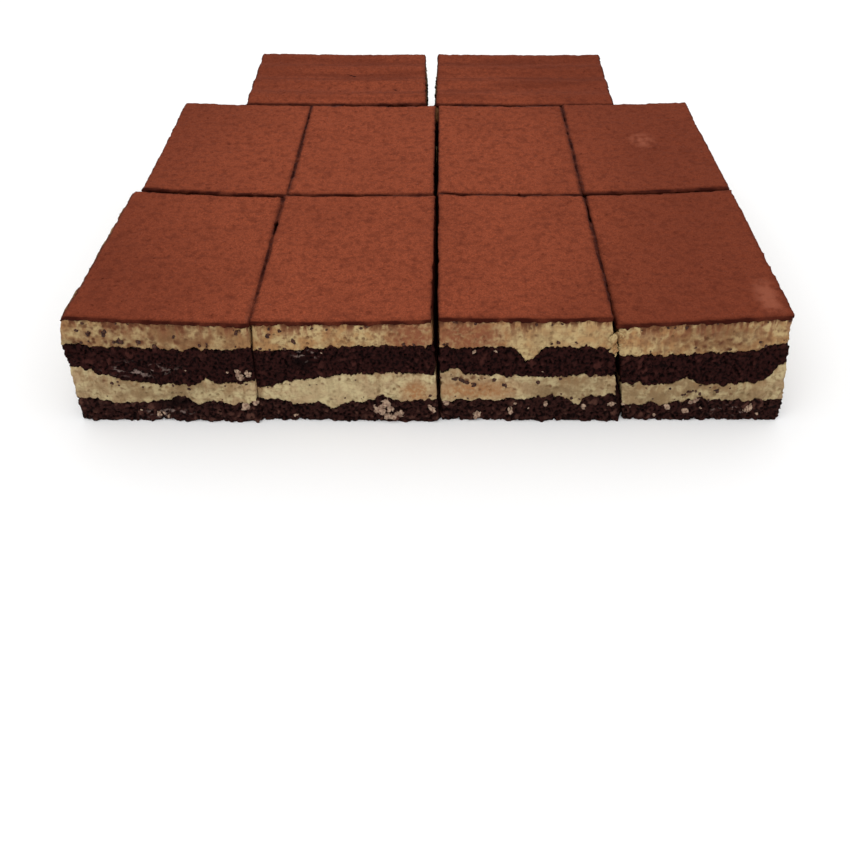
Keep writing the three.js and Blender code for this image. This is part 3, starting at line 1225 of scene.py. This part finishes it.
CREAM_CRUMBS = flecks_of(
    (-101.3, 33.5, 0.7, 0.7), (-98.3, 32.5, 1.2, 0.9), (-93.5, 32.6, 0.8, 0.9),
    (-89.3, 29.9, 1.2, 1.0), (-84.2, 29.5, 0.8, 1.1), (-79.8, 27.9, 0.8, 0.8),
    (-73.8, 31.3, 0.4, 0.8), (-64.2, 28.9, 0.5, 0.9), (-55.4, 33.2, 0.6, 0.8),
    (-46.6, 31.6, 0.9, 0.8), (-43.1, 33.2, 0.5, 0.5), (-39.2, 29.9, 0.8, 0.7),
    (7.8, 16.1, 1.3, 0.7), (9.6, 15.7, 1.3, 0.8), (11.4, 15.1, 1.3, 0.8),
    (13.3, 14.3, 1.2, 0.7), (22.6, 13.9, 0.7, 0.7), (32.5, 15.2, 0.6, 0.6),
    (76.4, 10.2, 1.0, 0.5), (78.0, 10.9, 1.1, 0.5), (79.6, 11.5, 1.0, 0.5),
    (85.9, 11.6, 1.2, 0.7),
)

# How flecks are made up of lumps, and how the other bits are strewn
FLECK_LUMPS = 7
FLECK_SPREAD = 0.6
FLECK_FLATNESS = 0.16
FLECK_SIZES = (0.5, 1.0)
FLECK_SUNK = 0.5
FACES_FRONT = -0.3
BIT_WIDTHS = (0.6, 1.0)
CREAM_EDGES = ((0.02, 0.25), (0.75, 0.95))
CRUMBS_PER_EDGE = 6
FLECKS_PER_SIDE = 2
GRAINS_PER_TOP = 90


class Crumbs:
    """All the loose bits: sponge crumbs, flecks and smears of cream, and grains of cocoa."""

    def __init__(self, portions: list[Portion], made: dict[str, Material]) -> None:
        """Starts each kind of bit."""
        self.portions = portions
        self.random = np.random.default_rng(SEED)
        self.sponge = LooseBits("sponge_crumbs", Slot.SPONGE, made["sponge_crumb"], self.random)
        self.cream = LooseBits(
            "cream_flecks", Slot.CREAM, made["cream_fleck"], self.random, detail=2, uneven=0.24, ripple=2.4
        )
        self.smear = LooseBits(
            "cream_smears", Slot.CREAM, made["cream_upper"], self.random, detail=2, uneven=0.1, ripple=1.8
        )
        self.cocoa = LooseBits("cocoa_grains", Slot.COCOA, made["dusted_cocoa"], self.random)

    def strew_on(self, bits: LooseBits, spots: tuple[Array, Array], count: int,
                 size: tuple[float, float], flat: float, sunk: float) -> None:
        """Strews bits over some of the places of a surface.

        Args:
            bits: the kind of bit.
            spots: the places and the way the surface faces there.
            count: how many bits.
            size: the least and the greatest half length, in millimetres.
            flat: a bit's height as a share of its length.
            sunk: the share of its height that it is sunk in.
        """
        if not len(spots[0]):
            return
        drawn = self.random.integers(len(spots[0]), size=count)
        length = self.random.uniform(*size, count) * MM
        width = length * self.random.uniform(*BIT_WIDTHS, count)
        sizes = np.stack([length, width, length * flat], axis=1)
        guides = self.random.normal(size=(count, 3))
        bits.strew(spots[0][drawn], spots[1][drawn], sizes, sunk, guides)

    def lay_flecks(self, bits: LooseBits, flecks: tuple[Fleck, ...], layers: tuple[str, ...]) -> None:
        """Lays flecks on the front of the cake.

        Args:
            bits: the kind of bit that they are made of.
            flecks: their places and sizes.
            layers: the layers that they can lie on.
        """
        found = [portion.layers[layer].cut_spots(0, 1) for portion in self.portions for layer in layers]
        spots, normals = (np.concatenate(part) for part in zip(*found))
        front = normals[:, 1] < FACES_FRONT
        spots, normals = spots[front], normals[front]
        for fleck in flecks:
            half = np.array((fleck.length, fleck.width))
            stray = self.random.uniform(-FLECK_SPREAD, FLECK_SPREAD, (FLECK_LUMPS, 2))
            targets = (fleck.across, fleck.height) + half * stray
            gaps = np.linalg.norm(spots[None, :, ::2] - targets[:, None] * MM, axis=2)
            nearest = np.argmin(gaps, axis=1)
            sizes = self.random.uniform(*FLECK_SIZES, (FLECK_LUMPS, 3)) * (1, 1, FLECK_FLATNESS)
            guides = self.random.normal(size=(FLECK_LUMPS, 3))
            bits.strew(spots[nearest], normals[nearest], sizes * half.min() * MM, FLECK_SUNK, guides)

    def build(self) -> None:
        """Strews every kind of bit over the portions and hands them over."""
        self.lay_flecks(self.cream, FLECKS, ("sponge_lower", "sponge_upper"))
        self.lay_flecks(self.smear, SMEARS, ("sponge_upper", "cream_upper"))
        self.lay_flecks(self.sponge, CREAM_CRUMBS, ("cream_lower", "cream_upper"))
        for portion in self.portions:
            sides = len(portion.open_sides)
            for cream in ("cream_lower", "cream_upper"):
                layer = portion.layers[cream]
                for lowest, highest in CREAM_EDGES:
                    spots = layer.cut_spots(lowest, highest)
                    count = CRUMBS_PER_EDGE * sides
                    self.strew_on(self.sponge, spots, count, size=(0.25, 0.7), flat=0.4, sunk=0.7)
            low = portion.layers["sponge_lower"].cut_spots(0.1, 0.9)
            self.strew_on(self.cream, low, FLECKS_PER_SIDE * sides, size=(0.3, 0.6), flat=0.4, sunk=0.6)
            high = portion.layers["sponge_upper"].cut_spots(0.05, 0.95)
            self.strew_on(self.cream, high, sides, size=(0.2, 0.4), flat=0.4, sunk=0.6)
            top = portion.cocoa.top_spots()
            self.strew_on(self.cocoa, top, GRAINS_PER_TOP, size=(0.15, 0.35), flat=0.5, sunk=0.5)
        for bits in (self.sponge, self.cream, self.smear, self.cocoa):
            bits.build()


# Studio


@dataclass(frozen=True)
class Studio:
    """Floor, soft light and camera.

    Attributes:
        floor_size: the floor's width.
        floor_colour: its colour.
        sky: the strength of the light from all round.
        lamp: the strength of the soft light from above.
        lamp_angle: how soft that light is.
        lamp_turn: where it comes from.
        eye: where the camera is.
        tilt: how far it looks down, in degrees.
        pan: how far it looks to the left, in degrees.
        lens: its focal length, in millimetres.
        sensor: its sensor's width, in millimetres.
        rise: the photograph's framing, as a share of its width.
    """

    floor_size: float = 8.0
    floor_colour: Colour = (0.93, 0.93, 0.93)
    sky: float = 0.94
    lamp: float = 1.0
    lamp_angle: float = 60.0
    lamp_turn: Triple = (32.0, -10.0, 0.0)
    eye: Vector = Vector((2.45, -330.33, 205.42)) * MM
    tilt: float = 35.008
    pan: float = 0.89
    lens: float = 42.208
    sensor: float = 36.0
    rise: float = -126 / 850

    def build(self) -> None:
        """Adds the floor, the light and the camera to the scene."""
        self.add_floor()
        self.add_light()
        self.add_camera()
        bpy.context.scene.view_settings.view_transform = "Standard"

    def add_floor(self) -> None:
        """Adds a plain pale floor."""
        bpy.ops.mesh.primitive_plane_add(size=self.floor_size)
        floor = bpy.context.object
        floor.name = "floor"
        pale = Graph("pale_floor", self.floor_colour).finish(roughness=0.9, specular=0.1)
        floor.data.materials.append(pale)

    def add_light(self) -> None:
        """Adds the light from all round and the soft one from above."""
        world = bpy.data.worlds.new("studio")
        world.use_nodes = True
        background = world.node_tree.nodes["Background"]
        background.inputs["Color"].default_value = (1, 1, 1, 1)
        background.inputs["Strength"].default_value = self.sky
        bpy.context.scene.world = world
        bpy.ops.object.light_add(type="SUN")
        lamp = bpy.context.object
        lamp.data.energy = self.lamp
        lamp.data.angle = math.radians(self.lamp_angle)
        lamp.rotation_euler = [math.radians(turn) for turn in self.lamp_turn]

    def add_camera(self) -> None:
        """Adds the camera at the photograph's viewing angle."""
        bpy.ops.object.camera_add(location=self.eye)
        camera = bpy.context.object
        camera.rotation_euler = (math.radians(90 - self.tilt), 0, math.radians(self.pan))
        camera.data.lens = self.lens
        camera.data.sensor_width = self.sensor
        camera.data.shift_y = self.rise
        camera.data.clip_start = 0.01
        bpy.context.scene.camera = camera


def main() -> None:
    """Builds the cake's looks and the studio."""
    logging.basicConfig(level=logging.INFO, format="%(message)s")
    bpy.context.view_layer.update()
    made = {finish.name: finish.material() for finish in FINISHES}
    portions = [Portion(name, sides, WIDE_SEAMS.get(name, ()), made) for name, sides in OPEN_SIDES.items()]
    for portion in portions:
        portion.build()
    Crumbs(portions, made).build()
    Studio().build()


if __name__ == "__main__":
    main()
